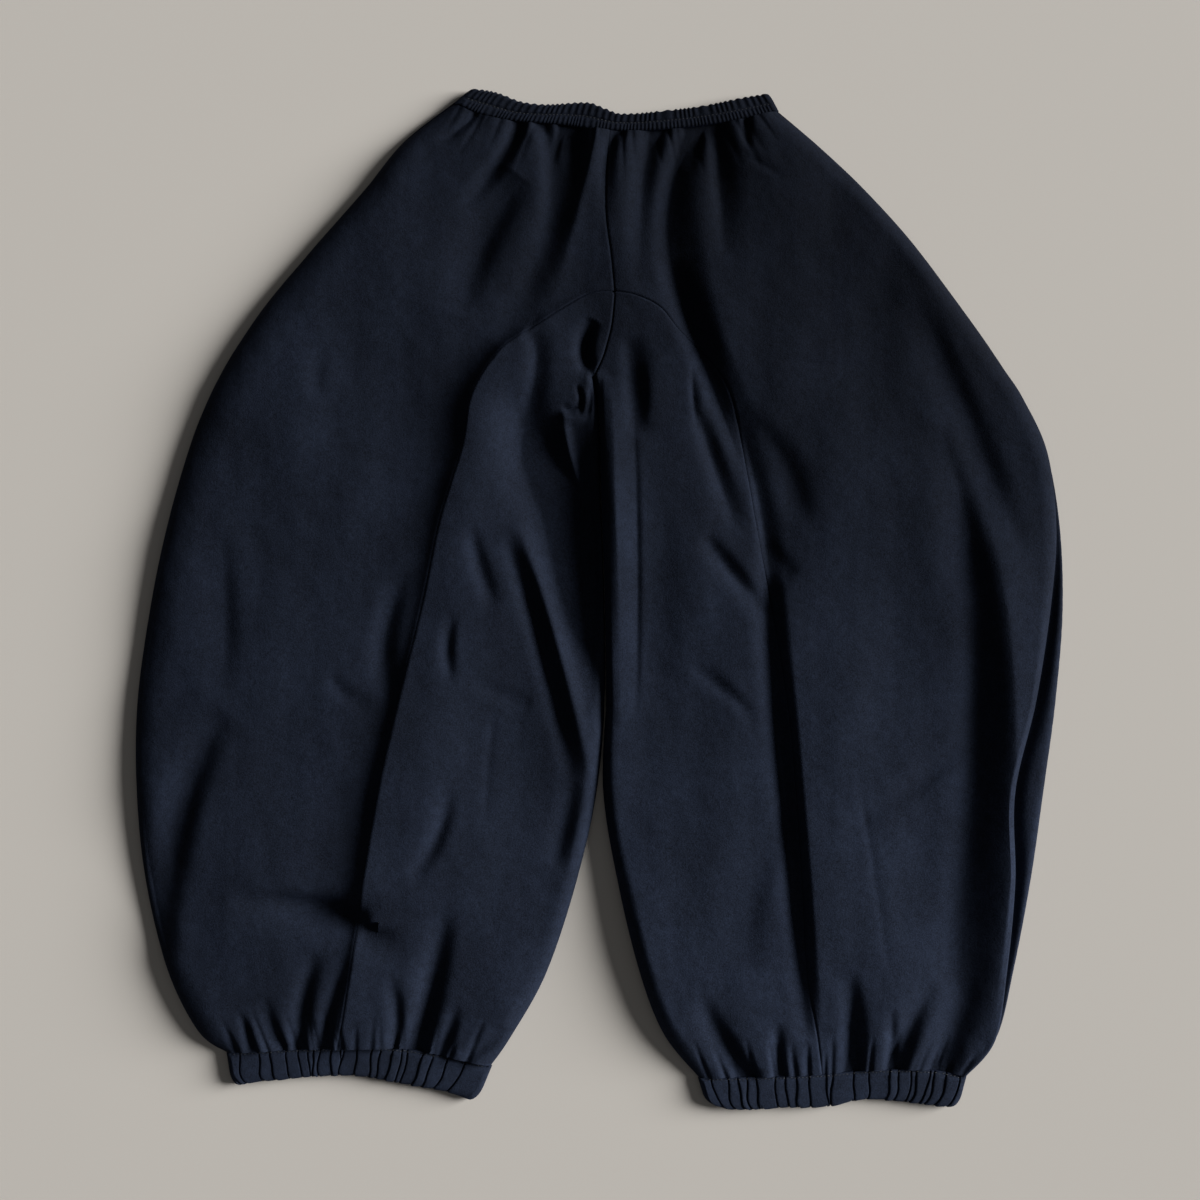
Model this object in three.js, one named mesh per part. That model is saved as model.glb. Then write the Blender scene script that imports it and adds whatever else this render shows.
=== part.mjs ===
// Jogger sweatpants with balloon legs, laid flat on their back with the front up.
// Millimetres. X runs to the viewer's right, Y towards the waist, Z up from the surface they lie on.
// Right and left in names are the wearer's: the viewer sees the right leg on the left.

import * as THREE from "three";

// Cloth and seams
const cloth = 2.2; // brushed fleece
const seamGap = 0.3; // between neighbouring pieces
const frontBase = cloth + seamGap; // the front lies on the back panels
const lowestFold = frontBase + cloth + 0.2; // no fold of the front presses lower than this

// Waistband and cuffs: a gathered casing over elastic, flattened with its two walls together
const waistHeight = 11.4;
const waistWall = 5.2;
const waistRibs = 60;
const ribRelief = 0.9;
const scallop = 1.2;
const cuffHeight = 10;
const cuffWall = 4.5;
const pleatRelief = 1.3;

// Rounded edges of the front and its grooves at seams
const sideRoll = { right: 8, left: 18 };
const seamGroove = { depth: 1.4, width: 3 };

// Sections across the laid garment, one row each, from the waist to the cuffs.
// Above the arch the seam is the centre seam, and down to the crotch so is the inner edge.
const arch = 4;
const crotch = 10;
const sections = table(
  "rightSideX rightSideY rightSeamX rightSeamY rightInnerX rightInnerY " +
    "leftInnerX leftInnerY leftSeamX leftSeamY leftSideX leftSideY leftBackX leftBackY",
  [-147, 496, 10, 469, 10, 469, 10, 469, 10, 469, 178, 488, 178, 488],
  [-196, 458, 6, 425, 6, 425, 6, 425, 6, 425, 216, 456, 216, 456],
  [-232, 415, 6, 382, 6, 382, 6, 382, 6, 382, 250, 425, 250, 425],
  [-260, 383, 11, 342, 11, 342, 11, 342, 11, 342, 280, 394, 280, 394],
  [-283, 357, 14, 307, 14, 307, 14, 307, 14, 307, 305, 366, 305, 366],
  [-300, 337, -10, 305, 14, 300, 14, 300, 36, 303, 325, 341, 325, 341],
  [-318, 316, -37, 290, 13, 288, 13, 288, 60, 291, 343, 317, 343, 317],
  [-338, 291, -66, 271, 11, 272, 11, 272, 78, 270, 363, 290, 363, 290],
  [-358, 262, -94, 253, 7, 256, 7, 256, 99, 250, 384, 261, 384, 261],
  [-376, 233, -115, 227, 2, 240, 2, 240, 118, 228, 405, 230, 405, 230],
  [-394, 197, -129, 198, -7, 222, -7, 222, 131, 202, 424, 201, 424, 201],
  [-411, 153, -137, 152, -1, 180, -1, 180, 142, 154, 448, 148, 448, 148],
  [-432, 80, -159, 80, 1, 100, 1.2, 100, 156, 75, 457, 75, 461, 75],
  [-449, 0, -176, 0, 4, 10, 4.4, 10, 171, -5, 452, 0, 464, -10],
  [-463, -100, -200, -100, 4.9, -95, 5.9, -95, 187, -105, 436, -100, 457, -100],
  [-464, -190, -220, -190, -3, -190, 3, -190, 195, -190, 414, -192, 445, -190],
  [-455, -280, -235, -280, -24, -284, 18, -284, 201, -280, 414, -281, 432, -280],
  [-433, -370, -248, -370, -54, -374, 40, -374, 206, -371, 406, -371, 415, -370],
  [-402, -432, -257, -424, -89, -437, 64, -435, 216, -430, 395, -440, 398, -438],
  [-373, -453, -262, -449, -109, -466, 99, -478, 222, -474, 366, -477, 367, -477],
);
const lastSection = sections.length - 1;

// How far the front stands over its base, by level, and how wide its inner edge rounds off
const loft = smoothCurve(
  table(
    "y rise",
    ...[[-480, 8], [-440, 14], [-380, 17], [-200, 15], [0, 14], [200, 15], [350, 17], [440, 14], [500, 8]],
  ),
  "y",
  "rise",
);
const innerRoll = {
  right: table("y width", [-470, 18], [-200, 14], [-60, 10], [190, 8]),
  left: table("y width", [-470, 18], [-200, 12], [-60, 7], [190, 5]),
};

// Broad forms of the cloth that lies puffed up: place, reach and height
const forms = table(
  "x y reachX reachY height",
  [-345, 230, 115, 230, 5],
  [325, 370, 150, 150, 8],
  [-128, 60, 40, 160, 4],
  [-330, -210, 110, 170, 3],
  [70, -300, 70, 110, 2.5],
);

// How far the inner panel stands over the outer one along each arched seam, and how far from the seam
// the outer one starts to rise to it
const archSteps = {
  right: table(
    "y rise reach",
    ...[[-450, 1.5, 6], [-330, 3.5, 7], [-250, 6, 9], [-100, 5, 9], [-20, 3.5, 9], [90, 6.5, 11]],
    ...[[240, 9, 12], [305, 4, 14]],
  ),
  left: table("y rise reach", [-450, 0.3, 9], [0, 0.5, 9], [305, 1.2, 9]),
};
const innerStepReach = 80;

// Largest folds of the front: three points along each, its depth (under 0 a ridge), the width of its
// flank on the viewer's left and of the one on the right, and in gathered -1 or 1 where its start
// or its end lies at full depth in a gathered seam
const folds = table(
  "startX startY midX midY endX endY depth west east gathered",
  // right outer panel, from the waist down
  [-81, 474, -100, 437, -141, 385, 9, 10, 9, -1],
  [-78, 420, -113, 362, -142, 285, 9, 36, 16, 0],
  [-58, 474, -48, 430, -57, 355, 10, 10, 11, -1],
  [-38, 474, -42, 455, -47, 434, 6, 5, 5, -1],
  [-3, 474, -15, 415, -50, 290, -9, 20, 8, -1],
  [-27, 474, -42, 380, -104, 255, 12, 17, 17, -1],
  [-126, 484, -140, 470, -163, 455, 6, 5, 6, -1],
  [-276, 254, -281, 225, -283, 196, 2, 10, 9, 0],
  [-381, 68, -374, -12, -378, -92, 5, 30, 13, 0],
  [-374, -118, -410, -222, -424, -362, 12, 26, 15, 0],
  [-193, 29, -215, -45, -202, -92, 7.5, 13, 12, 0],
  [-271, -74, -250, -95, -228, -103, 3.5, 6, 5, 0],
  [-368, -297, -300, -305, -242, -318, 12, 26, 15, 1],
  [-236, -325, -218, -334, -196, -352, 6, 12, 9, 0],
  [-334, -392, -327, -424, -318, -446, 7, 12, 7, 1],
  [-279, -350, -293, -389, -301, -446, 9, 10, 9, 1],
  [-248, -352, -265, -395, -276, -446, 7.5, 8, 7, 1],
  [-356, -412, -352, -430, -349, -448, 5, 6, 5, 1],
  // right inner panel
  [-76, 266, -63, 236, -80, 168, 7, 9, 14, 0],
  [-5, 277, -15, 250, -7, 224, 15, 9, 7, 0],
  [-92, 214, -46, 76, 6, -108, 20, 26, 38, 0],
  [-37, 190, -28, 140, -9, 88, -9, 12, 6, 0],
  [-129, 73, -119, 32, -104, -8, 5.5, 9, 9, 0],
  [-84, 80, -46, -30, -10, -178, -7, 15, 8, 0],
  [-92, 62, -60, -35, -26, -178, 7.5, 10, 13, 0],
  [-146, -15, -151, -50, -146, -79, 5, 8, 6, 0],
  [-129, -82, -92, -96, -68, -103, 3.5, 6, 6, 0],
  [-25, -174, -36, -231, -46, -264, 4.5, 12, 9, 0],
  [-189, -274, -163, -240, -150, -189, 5, 8, 10, 0],
  [-211, -374, -202, -406, -205, -446, 8, 9, 7, 1],
  [-153, -306, -164, -371, -184, -452, 14, 14, 11, 1],
  [-142, -402, -149, -428, -159, -454, 7, 8, 6, 1],
  [-96, -425, -110, -442, -140, -456, 5, 10, 9, 0],
  // left outer panel, from the waist down
  [49, 470, 37, 403, 44, 305, 13, 14, 14, -1],
  [95, 474, 72, 362, 138, 214, 14, 14, 22, -1],
  [76, 350, 98, 258, 152, 150, 9, 12, 19, 0],
  [108, 420, 118, 290, 172, 168, -8, 20, 70, 0],
  [91, 474, 97, 455, 86, 428, 6, 7, 8, -1],
  [148, 178, 192, 118, 183, 74, 6, 26, 12, 0],
  [115, 478, 119, 420, 124, 335, 11, 9, 15, -1],
  [146, 484, 146, 465, 149, 448, 6, 5, 5, -1],
  [311, 299, 362, 190, 419, 41, 6.5, 26, 14, 0],
  [335, 175, 360, 95, 376, 3, 5.5, 26, 12, 0],
  [374, 100, 408, -130, 384, -455, -9, 24, 7, 1],
  [368, 20, 382, -130, 376, -390, 6, 16, 16, 0],
  [249, -381, 253, -424, 253, -472, 10, 10, 8, 1],
  [289, -403, 291, -435, 292, -470, 7, 7, 6, 1],
  [328, -385, 306, -425, 301, -470, 7, 12, 8, 1],
  [363, -403, 350, -440, 338, -470, 8, 9, 7, 1],
  // the left arched seam lies in a valley below the knee, with the outer panel's ridge beside it
  [168, 0, 194, -200, 217, -455, 9, 10, 16, 1],
  [214, -40, 230, -230, 232, -410, -9, 14, 85, 0],
  // left inner panel
  [27, 262, 34, 215, 36, 162, 8, 9, 10, 0],
  [46, 240, 50, 205, 47, 172, -3, 7, 20, 0],
  [92, 236, 93, 202, 98, 165, 4, 4, 7, 0],
  [98, 188, 112, 142, 137, 70, 8, 9, 12, 0],
  [102, 63, 128, 33, 167, -15, 7.5, 11, 9, 0],
  [3, 215, 4, 40, 8, -125, -9, 5, 34, 0],
  [33, 195, 38, 40, 36, -118, 3.5, 26, 4, 0],
  [91, -69, 120, -86, 156, -121, 4, 6, 6, 0],
  [106, -396, 124, -436, 146, -474, 10, 12, 9, 1],
  [176, -420, 178, -445, 180, -474, 7, 8, 6, 1],
);

// Edges of the waistband and the cuffs
const waistLower = smoothCurve(
  table(
    "x y",
    [-147, 497], [-125, 487], [-90, 479], [-40, 475], [0, 470], [40, 469], [90, 473], [140, 480], [179, 489],
  ),
);
const waistUpper = smoothCurve(
  table(
    "x y",
    [-130, 511], [-105, 507], [-80, 498], [-55, 495], [-12, 497], [5, 491], [20, 486], [65, 489],
    [105, 494], [145, 502], [170, 506],
  ),
);
const cuffEdges = {
  right: {
    upper: smoothCurve(table("x y", [-374, -453], [-286, -449], [-196, -449], [-108, -466])),
    lower: smoothCurve(
      table("x y", [-369, -485], [-345, -481], [-250, -475], [-196, -483], [-145, -492], [-122, -500]),
    ),
  },
  left: {
    upper: smoothCurve(
      table("x y", [98, -478], [160, -477], [210, -475], [281, -470], [339, -471], [367, -477]),
    ),
    lower: smoothCurve(
      table("x y", [106, -504], [125, -509], [185, -507], [225, -506], [265, -499], [305, -501], [359, -507]),
    ),
  },
};
const waistEnds = { lower: [-147, 179], upper: [-130, 170] };
const cuffEnds = {
  right: { upper: [-374, -108], lower: [-369, -122] },
  left: { upper: [98, 367], lower: [106, 359] },
};

// Hard pleats of the two hems, each at its distance along the cuff's upper edge
const pleats = {
  right: table(
    "x",
    ...[-361, -341, -330, -314, -302, -292, -280, -269, -256, -243, -228, -219, -206, -192],
    ...[-176, -167, -151, -134],
  ),
  left: table(
    "x",
    ...[110, 127, 138, 146, 156, 175, 185, 196, 209, 225, 232, 253, 269, 290, 299, 311, 317],
    ...[330, 347],
  ),
};

// Stations at which every panel of the garment is cut, so that neighbours share each seam's points
const stations = [
  ...steps(0, arch, 8),
  arch + 0.15,
  arch + 0.5,
  ...steps(arch + 1, crotch + 1, 6),
  ...steps(crotch + 1.5, lastSection, 15),
];

// Columns of a panel: distances from each of its edges, with equal cells between them
const outerColumns = { start: [2, 6, 12, 20], middle: 13, end: [9, 3] };
const innerColumns = { start: [3, 9], middle: 5, end: [9, 3] };

const fleece = new THREE.MeshStandardMaterial({ color: 0x1b1f2a, roughness: 0.96, metalness: 0 });
const casing = new THREE.MeshStandardMaterial({ color: 0x191d27, roughness: 0.96, metalness: 0 });

// Tables and curves

function table(names, ...rows) {
  const keys = names.split(" ");
  return rows.map((row) => Object.fromEntries(keys.map((key, i) => [key, [row].flat()[i]])));
}

function steps(from, to, count) {
  return Array.from({ length: count + 1 }, (_, i) => from + ((to - from) * i) / count);
}

// Smooth curve through a table's points, as a function of one column
function smoothCurve(rows, input = "x", output = "y") {
  const slopeAt = (i) => {
    const before = rows[Math.max(i - 1, 0)];
    const after = rows[Math.min(i + 1, rows.length - 1)];
    return (after[output] - before[output]) / (after[input] - before[input]);
  };
  return (value) => {
    const at = THREE.MathUtils.clamp(value, rows[0][input], rows[rows.length - 1][input]);
    const i = Math.max(0, Math.min(rows.length - 2, rows.findLastIndex((row) => row[input] <= at)));
    const span = rows[i + 1][input] - rows[i][input];
    const t = (at - rows[i][input]) / span;
    const ease = t * t * (3 - 2 * t);
    const straight = rows[i][output] * (1 - ease) + rows[i + 1][output] * ease;
    const leaving = slopeAt(i) * t * (1 - t) * (1 - t);
    const arriving = slopeAt(i + 1) * t * t * (1 - t);
    return straight + span * (leaving - arriving);
  };
}

// One edge of the garment at every station. It may turn sharply at the sections in corners
function edgeOf(name, corners) {
  const pieces = corners.slice(1).map((to, i) => {
    const from = corners[i];
    const points = sections
      .slice(from, to + 1)
      .map((row) => new THREE.Vector2(row[`${name}X`], row[`${name}Y`]));
    return { from, to, curve: new THREE.SplineCurve(points) };
  });
  return stations.map((station) => {
    const piece = pieces.find((each) => station <= each.to);
    return piece.curve.getPoint((station - piece.from) / (piece.to - piece.from));
  });
}

// A path moved sideways, to the left of its direction for a distance over 0
function movedSideways(path, distance) {
  const normals = path.slice(1).map((point, i) => {
    const along = point.clone().sub(path[i]).normalize();
    return new THREE.Vector2(-along.y, along.x);
  });
  return path.map((point, i) => {
    const before = normals[Math.max(i - 1, 0)];
    const after = normals[Math.min(i, normals.length - 1)];
    const mitre = before.clone().add(after).divideScalar(1 + before.dot(after));
    return point.clone().addScaledVector(mitre, distance);
  });
}

// Nearest point of a path: its distance, how far along the path it lies, from 0 to 1, and whether the
// place is to the left of the path's direction, over 0, or to its right
function nearest(path, x, y) {
  let best = { distance: Infinity, along: 0, side: 1 };
  for (let i = 0; i < path.length - 1; i += 1) {
    const dx = path[i + 1].x - path[i].x;
    const dy = path[i + 1].y - path[i].y;
    const t = THREE.MathUtils.clamp(
      ((x - path[i].x) * dx + (y - path[i].y) * dy) / (dx * dx + dy * dy),
      0,
      1,
    );
    const distance = Math.hypot(x - path[i].x - dx * t, y - path[i].y - dy * t);
    const side = dx * (y - path[i].y) - dy * (x - path[i].x);
    if (distance < best.distance) best = { distance, along: (i + t) / (path.length - 1), side };
  }
  return best;
}

// Edges of the garment, as paths from the waist to the cuffs

const edges = {
  right: {
    side: edgeOf("rightSide", [0, lastSection]),
    backSide: edgeOf("rightSide", [0, lastSection]),
    seam: edgeOf("rightSeam", [0, arch, lastSection]),
    inner: edgeOf("rightInner", [0, crotch, lastSection]),
  },
  left: {
    side: edgeOf("leftSide", [0, lastSection]),
    backSide: edgeOf("leftBack", [0, lastSection]),
    seam: edgeOf("leftSeam", [0, arch, lastSection]),
    inner: edgeOf("leftInner", [0, crotch, lastSection]),
  },
};
const archStart = stations.indexOf(arch);
const crotchStart = stations.indexOf(crotch);

// Form of the front

const foldPaths = folds.map((fold) => {
  const start = new THREE.Vector2(fold.startX, fold.startY);
  const end = new THREE.Vector2(fold.endX, fold.endY);
  const control = new THREE.Vector2(
    2 * fold.midX - (start.x + end.x) / 2,
    2 * fold.midY - (start.y + end.y) / 2,
  );
  return new THREE.QuadraticBezierCurve(start, control, end).getPoints(8);
});

// Depth of a fold at a point: full along its middle, with a low ridge on either side of the trough
function foldDepth(fold, path, x, y) {
  const { distance, along, side } = nearest(path, x, y);
  const width = side > 0 ? fold.east : fold.west;
  if (distance > 3 * width) return 0;
  const across = (distance / width) ** 2;
  const toSeam = fold.gathered > 0 ? along : 1 - along;
  const strength = fold.gathered ? Math.sin((Math.PI / 2) * toSeam) : Math.sin(Math.PI * along) ** 0.7;
  return fold.depth * strength * (1 - 0.4 * across) * Math.exp(-across);
}

const byLeg = (tables, output) => ({
  right: smoothCurve(tables.right, "y", output),
  left: smoothCurve(tables.left, "y", output),
});
const innerWidth = byLeg(innerRoll, "width");
const archRise = byLeg(archSteps, "rise");
const archReach = byLeg(archSteps, "reach");

// Height of the front's outer face over the surface that the garment lies on
function frontHeight(leg, panel, x, y) {
  let rise = loft(y);
  for (const form of forms) {
    const apart = ((x - form.x) / form.reachX) ** 2 + ((y - form.y) / form.reachY) ** 2;
    rise += form.height * Math.exp(-apart);
  }
  const fromSide = nearest(edges[leg].side, x, y).distance;
  const openInner = edges[leg].inner.slice(crotchStart);
  const fromInner = nearest(openInner, x, y).distance;
  let height = frontBase + cloth;
  height += rise * rolled(fromSide, sideRoll[leg]) * rolled(fromInner, innerWidth[leg](y));
  for (let i = 0; i < folds.length; i += 1) height -= foldDepth(folds[i], foldPaths[i], x, y);
  for (const seam of [edges[leg].seam, edges[leg].inner.slice(0, crotchStart + 1)]) {
    const across = (nearest(seam, x, y).distance / seamGroove.width) ** 2;
    height -= seamGroove.depth * Math.exp(-across);
  }
  const fromArch = nearest(edges[leg].seam.slice(archStart), x, y).distance;
  const reach = panel === "inner" ? innerStepReach : archReach[leg](y);
  height += archRise[leg](y) * Math.exp(-((fromArch / reach) ** 2));
  return Math.max(height, lowestFold);
}

function rolled(distance, width) {
  const short = 1 - Math.min(distance / width, 1);
  return Math.sqrt(1 - short * short);
}

// Solids

// Closes a grid of outer points over a grid of inner ones into one wall
function wallGeometry(outer, inner, closedAround) {
  const rows = outer.length;
  const columns = outer[0].length;
  const positions = [...outer.flat(), ...inner.flat()].flatMap((point) => point.toArray());
  const offset = rows * columns;
  const index = [];
  const quad = (a, b, c, d) => index.push(a, b, c, a, c, d);
  const lastColumn = closedAround ? columns : columns - 1;
  for (let row = 0; row < rows - 1; row += 1) {
    for (let column = 0; column < lastColumn; column += 1) {
      const next = (column + 1) % columns;
      const a = row * columns + column;
      const b = row * columns + next;
      const c = (row + 1) * columns + next;
      const d = (row + 1) * columns + column;
      quad(a, b, c, d);
      quad(offset + a, offset + d, offset + c, offset + b);
    }
  }
  for (let column = 0; column < lastColumn; column += 1) {
    const next = (column + 1) % columns;
    const bottom = (rows - 1) * columns;
    quad(offset + column, offset + next, next, column);
    quad(bottom + column, bottom + next, offset + bottom + next, offset + bottom + column);
  }
  if (!closedAround) {
    for (let row = 0; row < rows - 1; row += 1) {
      const a = row * columns;
      const b = (row + 1) * columns;
      quad(a, b, offset + b, offset + a);
      quad(offset + a + columns - 1, offset + b + columns - 1, b + columns - 1, a + columns - 1);
    }
  }
  return facingOut(positions, index);
}

// A closed geometry from points and triangles, turned so that its faces look outwards
function facingOut(positions, index) {
  const at = (i) => new THREE.Vector3().fromArray(positions, 3 * i);
  let volume = 0;
  for (let i = 0; i < index.length; i += 3) {
    volume += at(index[i]).dot(at(index[i + 1]).cross(at(index[i + 2]))) / 6;
  }
  const geometry = new THREE.BufferGeometry();
  geometry.setAttribute("position", new THREE.Float32BufferAttribute(positions, 3));
  geometry.setIndex(volume < 0 ? index.toReversed() : index);
  geometry.computeVertexNormals();
  return geometry;
}

// Fractions across a panel of the given width
function columnFractions({ start, middle, end }, width) {
  const scale = Math.min(1, width / 110);
  const first = start.map((distance) => (distance * scale) / width);
  const last = end.map((distance) => 1 - (distance * scale) / width);
  return [0, ...first, ...steps(first.at(-1), last[0], middle).slice(1, -1), ...last, 1];
}

// A front panel between two of the garment's edges, from one station to the last
function frontPanel(leg, panel, from, to, columns) {
  const heightAt = (x, y) => frontHeight(leg, panel, x, y);
  const waistRow = [from[0], to[0]];
  const cuffRow = [from.at(-1), to.at(-1)];
  const firstStation = stations.length - from.length;
  const outer = from.map((start, i) => {
    const end = to[i];
    const station = stations[firstStation + i];
    return columnFractions(columns, start.distanceTo(end)).map((fraction) => {
      const point = start.clone().lerp(end, fraction);
      const top = waistRow[0].clone().lerp(waistRow[1], fraction);
      const foot = cuffRow[0].clone().lerp(cuffRow[1], fraction);
      const nearWaist = Math.max(0, 1 - station / 2);
      const nearCuff = Math.max(0, 1 - (lastSection - station) / 2);
      point.y += nearWaist * (waistLower(top.x) - seamGap - top.y);
      point.y += nearCuff * (cuffEdges[leg].upper(foot.x) + seamGap - foot.y);
      return new THREE.Vector3(point.x, point.y, heightAt(point.x, point.y));
    });
  });
  const inner = outer.map((row) => row.map((point) => {
    const eastward = heightAt(point.x + 1, point.y) - heightAt(point.x - 1, point.y);
    const northward = heightAt(point.x, point.y + 1) - heightAt(point.x, point.y - 1);
    const steepness = Math.min(2, Math.hypot(1, eastward / 2, northward / 2));
    const under = Math.max(frontBase, point.z - cloth * steepness);
    return new THREE.Vector3(point.x, point.y, under);
  }));
  return wallGeometry(outer, inner, false);
}

// A back panel lies flat: its outline, raised by the cloth's thickness
function backPanel(leg, from, to) {
  const waistPoints = from[0].y > 400 ? steps(0, 1, 8).map((t) => from[0].clone().lerp(to[0], t)) : [];
  for (const point of waistPoints) point.y = waistLower(point.x) - seamGap;
  const cuffPoints = steps(0, 1, 6).map((t) => from.at(-1).clone().lerp(to.at(-1), t));
  for (const point of cuffPoints) point.y = cuffEdges[leg].upper(point.x) + seamGap;
  const down = waistPoints.length ? to.slice(1, -1) : to.slice(0, -1);
  const up = waistPoints.length ? from.slice(1, -1) : from.slice(0, -1);
  const outline = [...waistPoints, ...down, ...cuffPoints.reverse(), ...up.reverse()];
  return new THREE.ExtrudeGeometry(new THREE.Shape(outline), { depth: cloth, bevelEnabled: false });
}

// A gathered casing, flattened: two walls that meet at rounded ends. Ribs rise on its upper wall
// and scallop its free edge, which is the first tier's or the last's
function flatRing({ lower, upper, ends, height, wall, ribs, tiers, freeTier }) {
  const round = height / 2;
  const halfHollow = height / 2 - wall;
  const endAngles = [135, 180, 225];
  const along = [
    ...endAngles.toReversed().map((angle) => ({ end: 0, angle })),
    ...ribs.map(({ across, lift }) => ({ across, lift, angle: 90 })),
    ...endAngles.map((angle) => ({ end: 1, angle: 180 - angle })),
    ...steps(0.98, 0.02, 6).map((across) => ({ across, lift: 0, angle: 270 })),
  ];
  const pointAt = (place, tier, radius, inset) => {
    const angle = THREE.MathUtils.degToRad(place.angle);
    const left = THREE.MathUtils.lerp(ends.lower[0], ends.upper[0], tier.at) + inset + radius;
    const right = THREE.MathUtils.lerp(ends.lower[1], ends.upper[1], tier.at) - inset - radius;
    const rounded = place.across === undefined;
    const turn = [left, right][place.end] + radius * Math.cos(angle);
    const x = rounded ? turn : left + (right - left) * place.across;
    const lowerY = lower(THREE.MathUtils.lerp(ends.lower[0], ends.lower[1], acrossOf(x, tier.at, ends)));
    const upperY = upper(THREE.MathUtils.lerp(ends.upper[0], ends.upper[1], acrossOf(x, tier.at, ends)));
    const y = THREE.MathUtils.lerp(lowerY, upperY, tier.at);
    return new THREE.Vector3(x, y, height / 2 + radius * Math.sin(angle));
  };
  const outer = tiers.map((tier) => along.map((place) => {
    const point = pointAt(place, tier, round, 0);
    if (place.angle === 90) point.z += tier.lift * place.lift - tier.drop;
    if (tier.at === freeTier && place.angle === 90) point.y += (freeTier ? 1 : -1) * scallop * place.lift;
    return point;
  }));
  const inner = tiers.map((tier) => along.map((place) => pointAt(place, tier, halfHollow, wall)));
  return wallGeometry(outer, inner, true);
}

function acrossOf(x, at, ends) {
  const left = THREE.MathUtils.lerp(ends.lower[0], ends.upper[0], at);
  const right = THREE.MathUtils.lerp(ends.lower[1], ends.upper[1], at);
  return (x - left) / (right - left);
}

// Even shirring: a crest and a hollow for each rib
function waistProfile() {
  return steps(0, 1, 2 * waistRibs).map((across, i) => ({
    across,
    lift: (i % 2 ? 1 : -1) * ribRelief * (0.75 + 0.25 * Math.sin(1.7 * i)),
  }));
}

// Hard pleats: each drops at its line and swells on its way to the next
function cuffProfile(lines, ends) {
  const across = lines.map(({ x }) => (x - ends[0]) / (ends[1] - ends[0]));
  const stops = [0.01, ...across, 0.99];
  return stops.slice(1).flatMap((next, i) => {
    const here = stops[i];
    return [
      { across: here, lift: -pleatRelief },
      { across: here + (next - here) * 0.25, lift: 0.8 * pleatRelief },
      { across: here + (next - here) * 0.7, lift: pleatRelief },
    ];
  });
}

// Rows of a casing from its lower edge to its upper one: how far its ribs stand out and its face drops
const waistTiers = table(
  "at lift drop",
  [0, 0.7, 1.2],
  [0.2, 1, 0],
  [0.42, 0.3, 0.9],
  [0.7, 1, 0],
  [1, 0.7, 1.5],
);
const cuffTiers = table("at lift drop", [0, 0.8, 1.2], [0.3, 1, 0], [0.8, 0.9, 0], [1, 0.5, 1]);

// The garment

const garment = new THREE.Group();

function add(name, geometry, material) {
  const mesh = new THREE.Mesh(geometry, material);
  mesh.name = name;
  garment.add(mesh);
}

for (const leg of ["right", "left"]) {
  // Paths run down from the waist, so their left side is the viewer's right
  const toInner = leg === "right" ? 1 : -1;
  const { side, backSide, seam, inner } = edges[leg];
  const seamOutside = movedSideways(seam, (-toInner * seamGap) / 2);
  const seamInside = movedSideways(seam, (toInner * seamGap) / 2).slice(archStart + 1);
  const innerEdge = movedSideways(inner, (-toInner * seamGap) / 2).slice(archStart + 1);
  add(`front_outer_${leg}`, frontPanel(leg, "outer", side, seamOutside, outerColumns), fleece);
  add(`front_inner_${leg}`, frontPanel(leg, "inner", seamInside, innerEdge, innerColumns), fleece);
  add(`back_outer_${leg}`, backPanel(leg, backSide, seamOutside), fleece);
  add(`back_inner_${leg}`, backPanel(leg, seamInside, innerEdge), fleece);
  const cuff = {
    ...cuffEdges[leg],
    ends: cuffEnds[leg],
    height: cuffHeight,
    wall: cuffWall,
    ribs: cuffProfile(pleats[leg], cuffEnds[leg].upper),
    tiers: cuffTiers,
    freeTier: 0,
  };
  add(`cuff_${leg}`, flatRing(cuff), casing);
}
add(
  "waistband",
  flatRing({
    lower: waistLower,
    upper: waistUpper,
    ends: waistEnds,
    height: waistHeight,
    wall: waistWall,
    ribs: waistProfile(),
    tiers: waistTiers,
    freeTier: 1,
  }),
  casing,
);

// The origin is under the middle of the garment's box, on the surface it lies on
const box = new THREE.Box3().setFromObject(garment);
const middle = box.getCenter(new THREE.Vector3());
garment.position.set(-middle.x, -middle.y, -box.min.z);
garment.updateMatrixWorld(true);

export default garment;
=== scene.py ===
"""Dresses the laid-out jogger sweatpants: cloth panels, gathered casings, stitches and the stage."""

import math
import random
from functools import partial

import bpy
import numpy as np
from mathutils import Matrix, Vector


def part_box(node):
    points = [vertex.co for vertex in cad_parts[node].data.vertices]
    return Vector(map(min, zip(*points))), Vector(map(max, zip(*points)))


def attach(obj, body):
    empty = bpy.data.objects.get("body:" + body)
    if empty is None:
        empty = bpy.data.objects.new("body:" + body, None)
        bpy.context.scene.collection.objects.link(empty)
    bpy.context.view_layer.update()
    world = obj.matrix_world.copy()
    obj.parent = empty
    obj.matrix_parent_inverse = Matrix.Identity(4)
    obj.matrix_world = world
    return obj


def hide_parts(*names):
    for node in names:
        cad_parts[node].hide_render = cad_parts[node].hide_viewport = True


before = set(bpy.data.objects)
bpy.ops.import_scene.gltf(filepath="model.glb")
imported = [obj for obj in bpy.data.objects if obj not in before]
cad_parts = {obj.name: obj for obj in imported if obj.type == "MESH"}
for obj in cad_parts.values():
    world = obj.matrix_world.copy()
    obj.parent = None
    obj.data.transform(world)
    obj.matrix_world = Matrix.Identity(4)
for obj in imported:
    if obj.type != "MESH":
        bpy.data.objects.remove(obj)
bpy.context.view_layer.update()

bl_info = {
    "name": "Laid-out jogger sweatpants",
    "version": (1, 0, 0),
    "blender": (4, 5, 0),
    "location": "View3D > Sidebar > Joggers",
    "description": "Builds the cloth, the casings and the stitches of balloon-leg sweatpants laid flat",
    "category": "Object",
}

MM = 0.001
LEGS = ("right", "left")


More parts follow.
